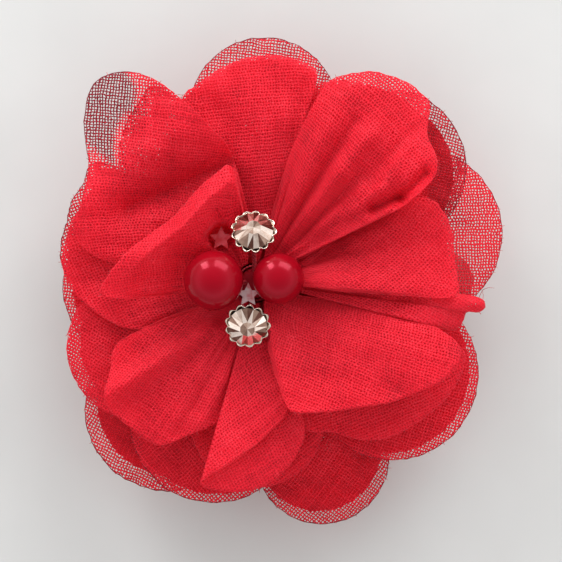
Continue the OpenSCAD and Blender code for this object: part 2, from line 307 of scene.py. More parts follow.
def petal_surface(petal, rng):
    """Grid of points of one petal before it is laid, from its root (row 0) to its rim, and the
    share of its rim at which it doubles back."""
    rim, given = even_rim(petal.rim, COLS)
    middle = (rim[:, 3].min() + rim[:, 3].max()) / 2
    root = polar(middle + 0.6 * (rim[:, 3] - middle), ROOT_R)
    out = OUT[:, None]
    xy = root + out[..., None] * (rim[:, :2] - root)
    r, reach = norm(xy), norm(rim[:, :2])
    z = pile_height(r, petal.level) + rim_lift(petal, rim, out)
    z += petal.crown * np.sin(np.pi * SIDE) * np.sin(np.pi * out) ** 1.5
    for fold in petal.folds:
        z += fold_height(xy, *fold) * smooth(r / 5 - 0.5)
    fade = smooth((r - ROOT_R) / 2.5) * (1 - 0.85 * smooth((r - 5) / (0.75 * reach.max() - 5)))
    z += petal.gather * fade * ripple(SIDE, rng.uniform(6, 9), rng)
    z += petal.ruffle * smooth((r - 8) / 14) * 0.6 * ripple(SIDE, rng.uniform(1.6, 2.6), rng)
    for _ in range(WRINKLES):
        heading = rng.uniform(0, 2 * np.pi)
        wave = 2 * np.pi / rng.uniform(2.2, 6)
        phase = wave * (xy @ [np.cos(heading), np.sin(heading)]) + rng.uniform(0, 6)
        z += 0.045 * np.sin(phase) * smooth(r / 6)
    nibble = rng.uniform(-0.07, 0.07, COLS)
    xy = xy * (1 + (nibble * out**8 / np.maximum(reach, 6))[..., None])
    turn = None if petal.turn is None else given[petal.turn]
    return np.concatenate([xy, z[..., None]], -1), turn


# ---- laying the petals on each other ----

# Half the side of the square that the pile covers, its grid's cell, and the gap between sheets.
FIELD = 30.0
CELL = 0.25
GAP = 0.16
SPREAD_PASSES = 160
SOFTEN_PASSES = 6


def averaged(grid):
    """Each value replaced by the mean of its four neighbours and itself."""
    p = np.pad(grid, 1, mode="edge")
    return (p[:-2, 1:-1] + p[2:, 1:-1] + p[1:-1, :-2] + p[1:-1, 2:] + p[1:-1, 1:-1]) / 5


def grown(grid):
    """Each value replaced by the highest of its neighbourhood."""
    p = np.pad(grid, 1, mode="edge")
    return np.max([p[i:i + grid.shape[0], j:j + grid.shape[1]] for i in range(3) for j in range(3)], 0)


def between(grid, rows, cols):
    """Values of a grid at fractional places."""
    i = np.clip(rows.astype(int), 0, grid.shape[0] - 2)
    j = np.clip(cols.astype(int), 0, grid.shape[1] - 2)
    s = np.clip(rows - i, 0, 1)
    t = np.clip(cols - j, 0, 1)
    return ((1 - s) * (1 - t) * grid[i, j] + s * (1 - t) * grid[i + 1, j]
            + (1 - s) * t * grid[i, j + 1] + s * t * grid[i + 1, j + 1])


class Pile:
    """Height of the cloth laid so far, on a square grid about the heart."""

    def __init__(self):
        cells = int(2 * FIELD / CELL) + 1
        self.top = np.full((cells, cells), 2.0)

    def place(self, points):
        return (points[..., 1] + FIELD) / CELL, (points[..., 0] + FIELD) / CELL

    def under(self, points):
        """Height of the pile below each point."""
        soft = averaged(averaged(grown(self.top)))
        return between(soft, *self.place(points))

    def add(self, points):
        """Puts a sheet on the pile."""
        for near in (0.125, 0.375, 0.625, 0.875):
            rows = points[:-1] * (1 - near) + points[1:] * near
            for across in (0.25, 0.75):
                spot = rows[:, :-1] * (1 - across) + rows[:, 1:] * across
                i, j = (np.round(x).astype(int) for x in self.place(spot))
                np.maximum.at(self.top, (i, j), spot[..., 2])


def lifted(points, pile, hold):
    """The sheet raised smoothly so that it clears the pile; hold weakens this at a fold."""
    need = (pile.under(points) + GAP - points[..., 2]) * hold
    lift = np.maximum(need, 0)
    for _ in range(SPREAD_PASSES):
        lift = np.maximum(need, averaged(lift))
    for _ in range(SOFTEN_PASSES):
        lift = averaged(lift)
    raised = points.copy()
    raised[..., 2] += lift
    return raised


def below_beads(points):
    """The sheet pressed down where a pearl or a setting stands on it."""
    pressed = points.copy()
    for node in ("pearl_large", "pearl_small", "cup_upper", "cup_lower", "star_bead_side"):
        low, high = box_mm(node)
        gap = norm(points[..., :2] - (centre_mm(node)[:2] - HEART))
        gap /= radius_mm(node) + 0.15
        ball = (low[2] + high[2]) / 2 - (high[2] - low[2]) / 2 * np.sqrt(np.clip(1 - gap**2, 0, 1))
        roof = np.where(gap < 1, ball - 0.2, np.inf)
        pressed[..., 2] = np.minimum(pressed[..., 2], roof)
    return pressed


def lay(points, turn, pile):
    """Lays one petal on the pile. A folded petal's lower flap goes down before its upper one."""
    if turn is None:
        points = below_beads(lifted(points, pile, 1.0))
        pile.add(points)
        return points
    lower = SIDE <= turn
    points[:, lower] = lifted(points, pile, 1.0)[:, lower]
    edge = points[:, lower][:, -1:]
    points[:, ~lower, 2] = np.maximum(points[:, ~lower, 2], edge[..., 2])
    flap = int(lower.sum())
    # The cloth next to the fold isn't on the pile yet, so that the upper flap can start from it.
    pile.add(points[:, :flap - 3])
    hold = smooth((SIDE - turn) / 0.1)
    raised = lifted(points, pile, hold)
    points[:, ~lower] = raised[:, ~lower]
    pile.add(points[:, flap:])
    return below_beads(points)


# ---- the flat cut of a petal ----

RELAX_PASSES = 500
RELAX_SHARE = 0.11
ROOT_ROWS = 6


def flattened(points):
    """Flat shape of a curved sheet: a sparse grid of it, relaxed until it keeps its lengths."""
    rows = np.linspace(0, ROWS - 1, 19)
    cols = np.linspace(0, COLS - 1, 31)
    sparse = np.stack([between(points[..., k], *np.meshgrid(rows, cols, indexing="ij"))
                       for k in range(3)], -1)
    rim = norm(np.diff(sparse[-1], axis=0))
    run = np.concatenate([[0], np.cumsum(rim)]) - rim.sum() / 2
    reach = norm(sparse[..., :2])
    fan = run / reach[-1].mean()
    flat = np.stack([reach * np.sin(fan), reach * np.cos(fan)], -1)
    every, start, end = slice(None), slice(-1), slice(1, None)
    ties = [((start, every), (end, every)), ((every, start), (every, end)),
            ((start, start), (end, end)), ((start, end), (end, start))]
    rests = [norm(sparse[q] - sparse[p]) for p, q in ties]
    for _ in range(RELAX_PASSES):
        push = np.zeros_like(flat)
        for (p, q), rest in zip(ties, rests):
            span = flat[q] - flat[p]
            length = np.maximum(norm(span), 1e-6)
            move = (RELAX_SHARE * (length - rest) / length)[..., None] * span
            push[p] += move
            push[q] -= move
        flat += push
    grid = along(flat, OUT)
    return along(grid.transpose(1, 0, 2), SIDE).transpose(1, 0, 2)


def edge_distance(flat):
    """Distance of each point of the flat cut from its free edge, which leaves out the root."""
    edge = np.concatenate([flat[ROOT_ROWS:, 0], flat[-1], flat[ROOT_ROWS:, -1]])
    gap = norm(flat.reshape(-1, 1, 2) - edge[None])
    return gap.min(1).reshape(flat.shape[:2])


# ---- meshes ----


def in_scene(name, data):
    """A new object with this mesh, lamp or camera, in the scene."""
    made = bpy.data.objects.new(name, data)
    scene.collection.objects.link(made)
    return made


def new_object(name, verts, faces):
    """A mesh piece from points in millimetres, in the row frame."""
    mesh = bpy.data.meshes.new(name)
    mesh.from_pydata([tuple(v) for v in np.asarray(verts, float) * MM], [], faces)
    mesh.update()
    mesh.polygons.foreach_set("use_smooth", [True] * len(mesh.polygons))
    return in_scene(name, mesh)


def store(piece, name, kind, domain, values):
    """Keeps values at a mesh's points or faces, where its material finds them by name."""
    attribute = piece.data.attributes.new(name, kind, domain)
    key = "vector" if kind == "FLOAT_VECTOR" else "value"
    attribute.data.foreach_set(key, np.asarray(values, np.float32).ravel())


def grid_faces(rows, cols):
    """Quads of a grid of points, row by row."""
    return [(i * cols + j, i * cols + j + 1, (i + 1) * cols + j + 1, (i + 1) * cols + j)
            for i in range(rows - 1) for j in range(cols - 1)]


def tube(line, radius, sides=10):
    """Points and faces of a round wire along a line of points."""
    line = np.asarray(line, float)
    ahead = unit(np.gradient(line, axis=0))
    across = np.cross(ahead[0], [0.31, 0.52, 0.8])
    turn = np.linspace(0, 2 * np.pi, sides, endpoint=False)[:, None]
    rings = []
    for point, heading, thick in zip(line, ahead, np.broadcast_to(radius, len(line))):
        across = unit(across - heading * (across @ heading))
        rings.append(point + thick * (np.cos(turn) * across + np.sin(turn) * np.cross(heading, across)))
    return np.concatenate(rings), capped(len(line), sides)


def capped(rings, sides):
    """Quads between rings of points, and a face over each end."""
    last = (rings - 1) * sides
    return ring_faces(rings, sides) + [tuple(range(sides))[::-1], tuple(range(last, last + sides))]


def ring_faces(rings, sides):
    """Quads between rings of points."""
    return [(i * sides + j, i * sides + (j + 1) % sides,
             (i + 1) * sides + (j + 1) % sides, (i + 1) * sides + j)
            for i in range(rings - 1) for j in range(sides)]


def merged(parts):
    """Several (points, faces) as one."""
    verts, faces = [], []
    for part_verts, part_faces in parts:
        start = sum(map(len, verts))
        verts.append(np.asarray(part_verts, float))
        faces += [tuple(start + k for k in face) for face in part_faces]
    return np.concatenate(verts), faces


def turned(profile, sides):
    """A closed solid turned round the Z axis from (radius, height) points, first and last on the axis."""
    verts = [(0, 0, profile[0][1])]
    for r, z in profile[1:-1]:
        verts += ring(r, z, sides)
    verts.append((0, 0, profile[-1][1]))
    rings = len(profile) - 2
    faces = [tuple(1 + k for k in face) for face in ring_faces(rings, sides)]
    last = 1 + (rings - 1) * sides
    for k in range(sides):
        faces.append((0, 1 + (k + 1) % sides, 1 + k))
        faces.append((len(verts) - 1, last + k, last + (k + 1) % sides))
    return np.array(verts), faces


def uneven(verts, depth, size):
    """Points pushed about by smooth noise of the given depth and size, in millimetres."""
    return np.array([np.array(v) + depth * np.array(noise.noise_vector(Vector(v) / size)) for v in verts])


def ring(radius, z, count, phase=0.0):
    """Points round the Z axis."""
    return [(radius * math.cos(a), radius * math.sin(a), z)
            for a in (2 * math.pi * (k + phase) / count for k in range(count))]


def add_modifier(piece, name, kind, **settings):
    """Adds a modifier with these settings."""
    modifier = piece.modifiers.new(name, kind)
    for key, value in settings.items():
        setattr(modifier, key, value)


def outward(piece):
    """Doubled points joined and faces turned to look outward."""
    bm = bmesh.new()
    bm.from_mesh(piece.data)
    bmesh.ops.remove_doubles(bm, verts=bm.verts, dist=1e-7)
    bmesh.ops.recalc_face_normals(bm, faces=bm.faces)
    bm.to_mesh(piece.data)
    bm.free()
    return piece


def dress(piece, slot, *nodes, material=None):
    """Gives a new piece the material of its slot or the one named, puts it on the clip body, hides its CAD
    nodes.
    """
    piece.data.materials.append(MATERIALS[material or slot])
    if nodes:
        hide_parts(*nodes)
    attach(piece, "clip_body")


def by_direction(share, direction):
    """A share that is one number, or pairs of direction and share."""
    return np.interp(direction, *zip(*share)) if isinstance(share, tuple) else share


SHEER_FROM = 0.68
SHEER_BLEND = 0.14
LINING_LAP = 0.1


def on_threads(petal, points, flat, rng):
    """The flat cut turned so that its axes run along the threads, with the distance from the edge."""
    grain = rng.uniform(0, np.pi)
    if petal.weave is not None:
        tip = points[-1, COLS // 2]
        grain = math.atan2(tip[1], tip[0]) + math.pi / 2 - math.radians(petal.weave)
    turn = np.array([[np.cos(grain), -np.sin(grain)], [np.sin(grain), np.cos(grain)]])
    return np.concatenate([flat @ turn, edge_distance(flat)[..., None]], -1)


def openness(petal, points):
    """How open the weave is at each point. It opens towards the rim, or past an uneven lining."""
    rim = np.degrees(np.arctan2(points[-1, :, 1], points[-1, :, 0])) % 360
    start = SHEER_FROM
    if isinstance(petal.lining, tuple):
        start = by_direction(petal.lining, rim) - LINING_LAP
    out = smooth((OUT[:, None] - start) / SHEER_BLEND)
    return np.broadcast_to(out * by_direction(petal.sheer, rim), (ROWS, COLS))


def petal_piece(petal, points, node, rng):
    """One petal as a thin sheet that remembers each point's place on the flat cut."""
    flat = flattened(points)
    place = np.concatenate([points[..., :2] + HEART, points[..., 2:]], -1)
    piece = new_object(petal.name + "_cloth", place.reshape(-1, 3), grid_faces(ROWS, COLS))
    store(piece, "cloth", "FLOAT_VECTOR", "POINT", on_threads(petal, points, flat, rng))
    store(piece, "sheer", "FLOAT", "POINT", openness(petal, points))
    add_modifier(piece, "thickness", "SOLIDIFY", thickness=CLOTH_T * MM, offset=0)
    dress(piece, "chiffon", node)


# ---- materials ----


class Nodes:
    """Short way to write a material's or world's nodes."""

    def __init__(self, name, kind="Material"):
        library = bpy.data.worlds if kind == "World" else bpy.data.materials
        self.owner = library.new(name)
        self.owner.use_nodes = True
        self.tree = self.owner.node_tree
        self.tree.nodes.clear()
        self.out = self.tree.nodes.new("ShaderNodeOutput" + kind)

    def put(self, kind, settings=None, **inputs):
        """Adds a node. Inputs are socket names with _ for a space; a value is a number or a socket."""
        node = self.tree.nodes.new("ShaderNode" + kind)
        for key, value in (settings or {}).items():
            setattr(node, key, value)
        for key, value in inputs.items():
            socket = node.inputs[int(key[1:])] if key[1:].isdigit() else node.inputs[key.replace("_", " ")]
            if isinstance(value, bpy.types.NodeSocket):
                self.tree.links.new(value, socket)
            else:
                socket.default_value = value
        return node

    def math(self, operation, a, b=0.0, c=0.0):
        return self.put("Math", {"operation": operation}, i0=a, i1=b, i2=c).outputs[0]

    def times(self, a, b, plus=0.0):
        """a times b, plus a third value."""
        return self.math("MULTIPLY_ADD", a, b, plus)

    def noise(self, scale, detail=2.0, vector=None):
        """Noise at object coordinates, or at another vector."""
        vector = vector or self.place()
        return self.put("TexNoise", Vector=vector, Scale=scale, Detail=detail).outputs["Fac"]

    def white_noise(self, number):
        return self.put("TexWhiteNoise", {"noise_dimensions": "1D"}, W=number).outputs["Value"]

    def place(self):
        """Object coordinates in millimetres."""
        here = self.put("TexCoord").outputs["Object"]
        return self.put("VectorMath", {"operation": "SCALE"}, Vector=here, Scale=1000.0).outputs[0]

    def ramp(self, factor, *stops):
        """Colour ramp with stops (place, (red, green, blue))."""
        node = self.put("ValToRGB", Fac=factor)
        elements = node.color_ramp.elements
        while len(elements) < len(stops):
            elements.new(0.5)
        for element, (at, colour) in zip(elements, stops):
            element.position = at
            element.color = (*colour, 1)
        return node.outputs["Color"]

    def bump(self, height, distance_mm, strength=1.0):
        return self.put("Bump", Height=height, Distance=distance_mm * MM, Strength=strength).outputs[0]

    def finish(self, shader):
        self.tree.links.new(shader.outputs[0], self.out.inputs["Surface"])
        return self.owner

    def principled(self, **inputs):
        """The finished material of one Principled shader."""
        return self.finish(self.put("BsdfPrincipled", **inputs))


THREAD_PITCH = 0.31


def drifted(n, cloth):
    """Places on the cloth, pushed about so that its threads wander."""
    moved = cloth
    for scale, detail, reach in ((0.9, 3.0, 0.36), (3.4, 2.0, 0.13)):
        drift = n.put("TexNoise", Vector=cloth, Scale=scale, Detail=detail, Roughness=0.6)
        drift = n.put("VectorMath", {"operation": "SCALE"}, Vector=drift.outputs["Color"], Scale=reach)
        moved = n.put("VectorMath", {"operation": "ADD"}, i0=moved, i1=drift.outputs[0]).outputs[0]
    return moved


def threads(n, coordinate, half_width, edge):
    """Presence, roundness, random tone and number of parallel threads, each cut at its own place."""
    count = n.math("DIVIDE", coordinate, THREAD_PITCH)
    index = n.math("FLOOR", count)
    tone = n.white_noise(index)
    off = n.math("ABSOLUTE", n.math("SUBTRACT", n.math("FRACT", count), 0.5))
    width = n.times(tone, 0.07, half_width)
    body = n.put("MapRange", {"interpolation_type": "SMOOTHSTEP"}, Value=off,
                 i1=n.math("ADD", width, 0.04), i2=n.math("SUBTRACT", width, 0.04)).outputs[0]
    held = n.math("GREATER_THAN", edge, n.times(tone, 0.2, -0.06))
    round_top = n.math("SUBTRACT", 1.0, n.math("POWER", n.math("DIVIDE", off, width), 2.0))
    return n.times(body, held), n.math("MAXIMUM", round_top, 0.0), tone, index


def chiffon_material():
    """Open plain weave of crimson crepe threads, cut raw at the edge, the thread tops with a painted
    highlight.
    Its sheer parts have thinner threads, darkened by painted shade, and a scorched edge."""
    n = Nodes("chiffon")
    cloth = n.put("Attribute", {"attribute_name": "cloth"}).outputs["Vector"]
    sheer = n.put("Attribute", {"attribute_name": "sheer"}).outputs["Fac"]
    axes = n.put("SeparateXYZ", Vector=drifted(n, cloth)).outputs
    edge = n.put("SeparateXYZ", Vector=cloth).outputs["Z"]
    see_through = n.math("MAXIMUM", sheer, 0.0)
    # The warp jogs at each weft thread where the cloth is close, and runs straight where it is sheer.
    row = n.math("FLOOR", n.times(axes["Y"], 1 / THREAD_PITCH, 0.5))
    jog = n.times(n.white_noise(row), THREAD_PITCH)
    stagger = n.times(jog, n.math("SUBTRACT", 1.0, see_through))
    slub = n.times(n.noise(4.0, 1.0, cloth), 0.26, -0.13)
    half_width = n.math("ADD", n.times(sheer, -0.13, 0.275), slub)
    warp, warp_top, warp_tone, warp_index = threads(n, n.math("ADD", axes["X"], stagger), half_width, edge)
    weft, weft_top, weft_tone, weft_index = threads(n, axes["Y"], half_width, edge)
    sealed = n.math("LESS_THAN", edge, n.times(n.noise(2.6, vector=cloth), 0.26, -0.05))
    there = n.math("MAXIMUM", n.math("MAXIMUM", warp, weft), sealed)
    over = n.math("MODULO", n.math("ABSOLUTE", n.math("ADD", warp_index, weft_index)), 2.0)
    warp_high = n.times(warp_top, n.times(over, 0.6, 0.4))
    weft_high = n.times(weft_top, n.times(over, -0.6, 1.0))
    high = n.math("MAXIMUM", warp_high, weft_high)
    relief = n.bump(n.times(n.noise(9.0, vector=cloth), 0.5, high), 0.05, 0.9)
    # Painted highlight: the raised tops of the threads are lightened towards pale pink in flecks. The slow
    # blotches are the cloth's own tone.
    painted_thread_highlight = n.times(n.math("POWER", high, 2.5), n.noise(4.5, 1.0, cloth))
    tone_and_painted_highlight = n.times(n.noise(0.25, 3.0), 0.38, n.times(painted_thread_highlight, 0.8))
    tone = n.times(n.math("ADD", warp_tone, weft_tone), 0.06, tone_and_painted_highlight)
    # Painted shade: the threads of the sheerest cloth are darkened, as no cloth under them lights them.
    tone = n.times(n.math("POWER", see_through, 8.0), -0.5, tone)
    tone = n.times(sealed, n.times(see_through, -0.6, 0.1), tone)
    red = n.ramp(tone, (0.0, (0.25, 0.006, 0.018)), (0.25, (0.86, 0.009, 0.034)),
                 (0.55, (0.96, 0.014, 0.046)), (0.9, (1.0, 0.085, 0.125)))
    glow = n.ramp(tone, (0.0, (0.3, 0.004, 0.012)), (0.25, (0.9, 0.007, 0.026)),
                  (0.6, (0.98, 0.012, 0.036)))
    front = n.put("BsdfPrincipled", Base_Color=red, Roughness=0.55, Normal=relief,
                  Sheen_Weight=0.25, Sheen_Roughness=0.4, Specular_IOR_Level=0.3,
                  Sheen_Tint=(1.0, 0.4, 0.48, 1))
    through = n.put("BsdfTranslucent", Color=glow, Normal=relief)
    thread = n.put("MixShader", Fac=0.45, i1=front.outputs[0], i2=through.outputs[0])
    hole = n.put("BsdfTransparent")
    return n.finish(n.put("MixShader", Fac=there, i1=hole.outputs[0], i2=thread.outputs[0]))


def steel_material(name, tone, roughness):
    """Plated steel with fine drawing marks and dull patches."""
    n = Nodes(name)
    marks = n.put("Mapping", Vector=n.place(), Scale=(0.4, 14.0, 14.0)).outputs[0]
    drawn = n.noise(2.0, 4.0, marks)
    wear = n.noise(0.35, 5.0)
    colour = n.ramp(wear, (0.3, tuple(0.88 * c for c in tone)), (0.7, tone))
    rough = n.times(n.math("ADD", drawn, wear), roughness, roughness * 0.5)
    return n.principled(Base_Color=colour, Metallic=1.0, Roughness=rough, Normal=n.bump(drawn, 0.01, 0.5))


def pearl_material():
    """Dark red imitation pearl: a cloudy lacquer with soft pink highlights, and painted shade towards its
    outline.
    """
    n = Nodes("pearl")
    # Painted shade: the colour darkens where the surface turns away from view, so the pearl is lighter in
    # the middle. The slow clouds are the lacquer's own.
    rim = n.put("LayerWeight", Blend=0.35).outputs["Facing"]
    depth = n.times(n.noise(0.55, 3.0), 0.3, n.times(rim, 0.7))
    colour = n.ramp(depth, (0.1, (0.29, 0.002, 0.009)), (0.8, (0.19, 0.001, 0.005)))
    return n.principled(Base_Color=colour, Metallic=0.05, Roughness=0.17, Specular_IOR_Level=0.42,
                        Specular_Tint=(1.0, 0.19, 0.3, 1), Normal=n.bump(n.noise(6.0), 0.006, 0.3))


def crystal_material():
    """Foil-backed cut glass with a painted reflection: each facet is painted its own glint."""
    n = Nodes("crystal")
    painted_glint = n.put("Attribute", {"attribute_name": "painted_glint"}).outputs["Fac"]
    # Painted reflection: each facet's painted glint, streaked, picks a metal colour from dark brown to
    # bright champagne.
    streak = n.noise(1.8, 3.0)
    tone = n.times(n.math("SUBTRACT", streak, 0.5), 0.5, painted_glint)
    colour = n.ramp(tone, (0.0, (0.13, 0.05, 0.035)), (0.45, (0.45, 0.3, 0.23)),
                    (0.9, (0.97, 0.82, 0.73)))
    return n.principled(Base_Color=colour, Metallic=0.85, Roughness=0.1, IOR=1.6,
                        Transmission_Weight=0.25)


def clear_bead_material(name, clearness, dark, light):
    """Cloudy clear bead, its colour painted with the pink of the red cloth seen through and round it."""
    n = Nodes(name)
    colour = n.ramp(n.noise(1.3), (0.38, dark), (0.6, light))
    return n.principled(Base_Color=colour, Roughness=0.2, Specular_IOR_Level=0.25,
                        Transmission_Weight=clearness)


def felt_material():
    """Dark red felt: matted fibres with a soft fuzz."""
    n = Nodes("felt")
    fibre = n.noise(2.4, 6.0)
    colour = n.ramp(fibre, (0.3, (0.2, 0.006, 0.012)), (0.75, (0.5, 0.02, 0.035)))
    tufts = n.times(n.noise(0.7, 3.0), 0.8, fibre)
    return n.principled(Base_Color=colour, Roughness=0.95, Specular_IOR_Level=0.2, Sheen_Weight=0.3,
                        Sheen_Roughness=0.6, Sheen_Tint=(1.0, 0.25, 0.3, 1), Normal=n.bump(tufts, 0.16))


def thread_material():
    """Twisted crimson thread."""
    n = Nodes("thread")
    ply = n.put("TexWave", {"bands_direction": "DIAGONAL"}, Vector=n.place(), Scale=1.6,
                Distortion=2.0).outputs["Fac"]
    colour = n.ramp(ply, (0.2, (0.3, 0.006, 0.016)), (0.8, (0.62, 0.02, 0.04)))
    return n.principled(Base_Color=colour, Roughness=0.6, Normal=n.bump(ply, 0.03))


def glue_material(name, roughness, gloss, dark, light):
    """Set hot-melt glue: cloudy and uneven."""
    n = Nodes(name)
    cloud = n.noise(0.5, 3.0)
    colour = n.ramp(cloud, (0.3, dark), (0.7, light))
    return n.principled(Base_Color=colour, Roughness=roughness, Specular_IOR_Level=gloss,
                        Subsurface_Weight=0.3, Subsurface_Scale=0.001, Normal=n.bump(cloud, 0.1, 0.4))


MATERIALS = {
    "chiffon": chiffon_material(),
    "steel": steel_material("steel", (0.78, 0.76, 0.73), 0.16),
    "spring_wire": steel_material("spring_wire", (0.62, 0.61, 0.6), 0.2),
    "setting": steel_material("setting", (0.62, 0.53, 0.45), 0.13),
    "pearl": pearl_material(),
    "crystal": crystal_material(),
    # Painted reflection: the clear beads carry the red of the cloth seen through and round them. The side
    # bead under the cloth is almost fully red.
    "clear_bead": clear_bead_material("clear_bead", 0.3, (0.9, 0.3, 0.34), (1.0, 0.76, 0.78)),
    "clear_bead_painted_cloth_red": clear_bead_material("clear_bead_painted_cloth_red", 0.2, (0.8, 0.03, 0.05), (0.9, 0.11, 0.15)),
    "felt": felt_material(),
    "thread": thread_material(),
    "glue": glue_material("glue", 0.28, 0.5, (0.7, 0.6, 0.5), (0.82, 0.76, 0.66)),
    # Painted shade: the glue in the heart is dark red, to stand for the shaded red heart between the beads.
    "glue_painted_shade": glue_material("glue_painted_shade", 0.7, 0.1, (0.2, 0.002, 0.008), (0.34, 0.005, 0.016)),
}

# ---- the flower ----

FRAYS = 16
CLOSE_WEAVE = -2.5
TIP_WEAVE = ((112, 0.1), (121, 0.9), (144, 0.9), (153, 0.1))


def lining_of(petal):
    """The smaller sheet under a petal: closely woven, but open under a sheer tip."""
    rim = [(direction, reach * by_direction(petal.lining, direction), lift - .15)
           for direction, reach, lift in petal.rim]
    sheer = TIP_WEAVE if isinstance(petal.lining, tuple) else CLOSE_WEAVE
    return petal._replace(rim=rim, name=petal.name + "_lining", sheer=sheer, weave=None)


def build_petals():
    """Makes, lays and dresses the petals from the bottom of the pile up, each on its lining."""
    pile = Pile()
    frays = []
    for number, petal in enumerate(PETALS):
        plies = [lining_of(petal), petal] if petal.lining else [petal]
        for ply, sheet in enumerate(plies):
            rng = np.random.default_rng([SEED, number, ply])
            points, turn = petal_surface(sheet, rng)
            laid = lay(points, turn, pile)
            petal_piece(sheet, laid, petal.name, rng)
        frays += frayed_ends(laid, rng)
    frays += loose_ends()
    place = [(verts + [*HEART, 0], faces) for verts, faces in frays]
    dress(new_object("frayed_threads", *merged(place)), "thread")


def fibre(start, heading, length, curl, rng):
    """A thin curly thread from a point, as a tube."""
    steps = 4 if length < 1 else 14
    line = [np.array(start, float)]
    heading = np.array(heading, float)
    for _ in range(steps):
        heading = unit(heading + rng.normal(0, curl, 3) * [1, 1, 0.5])
        line.append(line[-1] + heading * length / steps)
    return tube(line, np.linspace(0.035, 0.018, steps + 1), 4)


def frayed_ends(points, rng):
    """Short thread ends along a petal's free rim."""
    frays = []
    for col in rng.choice(COLS - 4, FRAYS, replace=False) + 2:
        rim = points[-1, col]
        heading = rim - points[-3, col]
        heading += rng.normal(0, 0.35, 3) * norm(heading)
        heading[2] *= 0.3
        length = rng.uniform(0.12, 0.4)
        frays.append(fibre(rim - 0.05 * heading, unit(heading), length, 0.25, rng))
    return frays


def loose_ends():
    """The few long threads that have come away, each from its place, heading, length and height."""
    ends = [((-4.6, 22.6), 40, 3.4, 9.5), ((-5.4, 22.8), 12, 2.2, 9.6), ((-6.3, 22.6), -35, 1.5, 9.2),
            ((263, 21.6), 262, 1.1, 5.5), ((110, 20.4), 150, 1.6, 7.6), ((113, 19.8), 120, 1.3, 7.4),
            ((222, 19.4), 235, 1.3, 6.2), ((331, 22.6), 300, 1.2, 6.4)]
    for number, (spot, heading, length, z) in enumerate(ends):
        rng = np.random.default_rng([SEED, 900, number])
        yield fibre((*polar(*spot), z), (*polar(heading, 1), 0.05), length, 0.3, rng)


# ---- beads ----


def stone_mesh(radius, sides):
    """Points and faces of a chaton (small table, long crown facets, girdle, pointed pavilion), and
    the painted glint of each facet, from dark to bright."""
    table = ring(0.38 * radius, 0.42 * radius, sides, 0.5)
    upper = ring(radius, 0.02 * radius, 2 * sides)
    girdle = ring(radius, -0.08 * radius, 2 * sides)
    belt = ring(0.62 * radius, -0.36 * radius, sides, 0.5)
    ends = [(0, 0, 0.4 * radius), (0, 0, -0.72 * radius)]
    t, u, g, b, peak, culet = 0, sides, 3 * sides, 5 * sides, 6 * sides, 6 * sides + 1
    # Each facet with its share of painted glint, by its kind.
    facets = []
    for k in range(sides):
        before = (k - 1) % sides
        after = 2 * (k + 1) % (2 * sides)
        facets += [
            ((t + before, t + k, peak), 0.35),
            ((t + before, u + 2 * k, t + k), 0.9),
            ((t + k, u + 2 * k, u + 2 * k + 1), 0.15),
            ((t + k, u + 2 * k + 1, u + after), 0.6),
            ((b + k, g + 2 * k, g + 2 * k + 1), 0.5),
            ((b + k, g + 2 * k + 1, g + after), 0.5),
            ((b + k, b + before, g + 2 * k), 0.5),
            ((culet, b + before, b + k), 0.5),
        ]
    facets += [(tuple(u + k for k in quad), 0.5) for quad in ring_faces(2, 2 * sides)]
    faces, painted_glint = zip(*facets)
    return table + upper + girdle + belt + ends, list(faces), np.array(painted_glint)


def tilted(verts, at, tilt):
    """Points turned about X and moved to a place."""
    matrix = np.array(Matrix.Rotation(math.radians(tilt), 3, "X"))
    return np.asarray(verts) @ matrix.T + at


STONE_Z = centre_mm("pearl_large")[2] - 0.1
STONE_SIDES = 10
CUP_ASIDE = 0.1
CUP_LOBES = 13
CUP_T = 0.055
PROFILE_R = 1.95


def rhinestone(which, tilt):
    """A faceted stone in its scalloped setting, both turned about X by the tilt in degrees."""
    node, cup = "rhinestone_" + which, "cup_" + which
    radius = radius_mm(node)
    girdle = np.array([*centre_mm(cup)[:2], STONE_Z])
    verts, faces, painted_glint = stone_mesh(radius * 1.02, STONE_SIDES)
    stone = outward(new_object(node + "_facets", tilted(verts, girdle, tilt), faces))
    stone.data.polygons.foreach_set("use_smooth", [False] * len(faces))
    rng = np.random.default_rng([SEED, 500, tilt > 0])
    # Painted reflection: each facet's painted glint is shifted at random.
    painted_glint = np.clip(painted_glint + rng.uniform(-0.45, 0.45, len(faces)), 0, 1)
    store(stone, "painted_glint", "FLOAT", "FACE", painted_glint)
    dress(stone, "crystal", node)
    aside = math.copysign(CUP_ASIDE, tilt)
    setting = setting_piece(cup + "_scallops", girdle + [0, aside, 0], tilt, radius)
    dress(setting, "setting", cup)


def setting_piece(name, at, tilt, radius):
    """A thin fluted cup with a scalloped rim round the stone. Its profile is for a stone of PROFILE_R."""
    count = 12 * CUP_LOBES
    profile = [(0.0, -1.88), (0.55, -1.88), (0.88, -1.8), (1.25, -1.2), (1.62, -0.62),
               (1.96, -0.2), (2.12, 0.02), (2.2, 0.1)]
    verts = []
    for share, (r, z) in enumerate(profile):
        weight = (share / (len(profile) - 1)) ** 3
        for k in range(count):
            a = 2 * math.pi * k / count
            wave = 2 * abs(math.cos(CUP_LOBES * a / 2)) - 1.3 + 0.3 * math.sin(3 * a + 1)
            grow = r * (radius / PROFILE_R) * (1 + 0.075 * weight * wave)
            verts.append((grow * math.cos(a), grow * math.sin(a), z - 0.1 * weight * wave))
    piece = outward(new_object(name, tilted(verts, at, tilt), ring_faces(len(profile), count)))
    add_modifier(piece, "thickness", "SOLIDIFY", thickness=CUP_T * MM, offset=-1)
    return piece


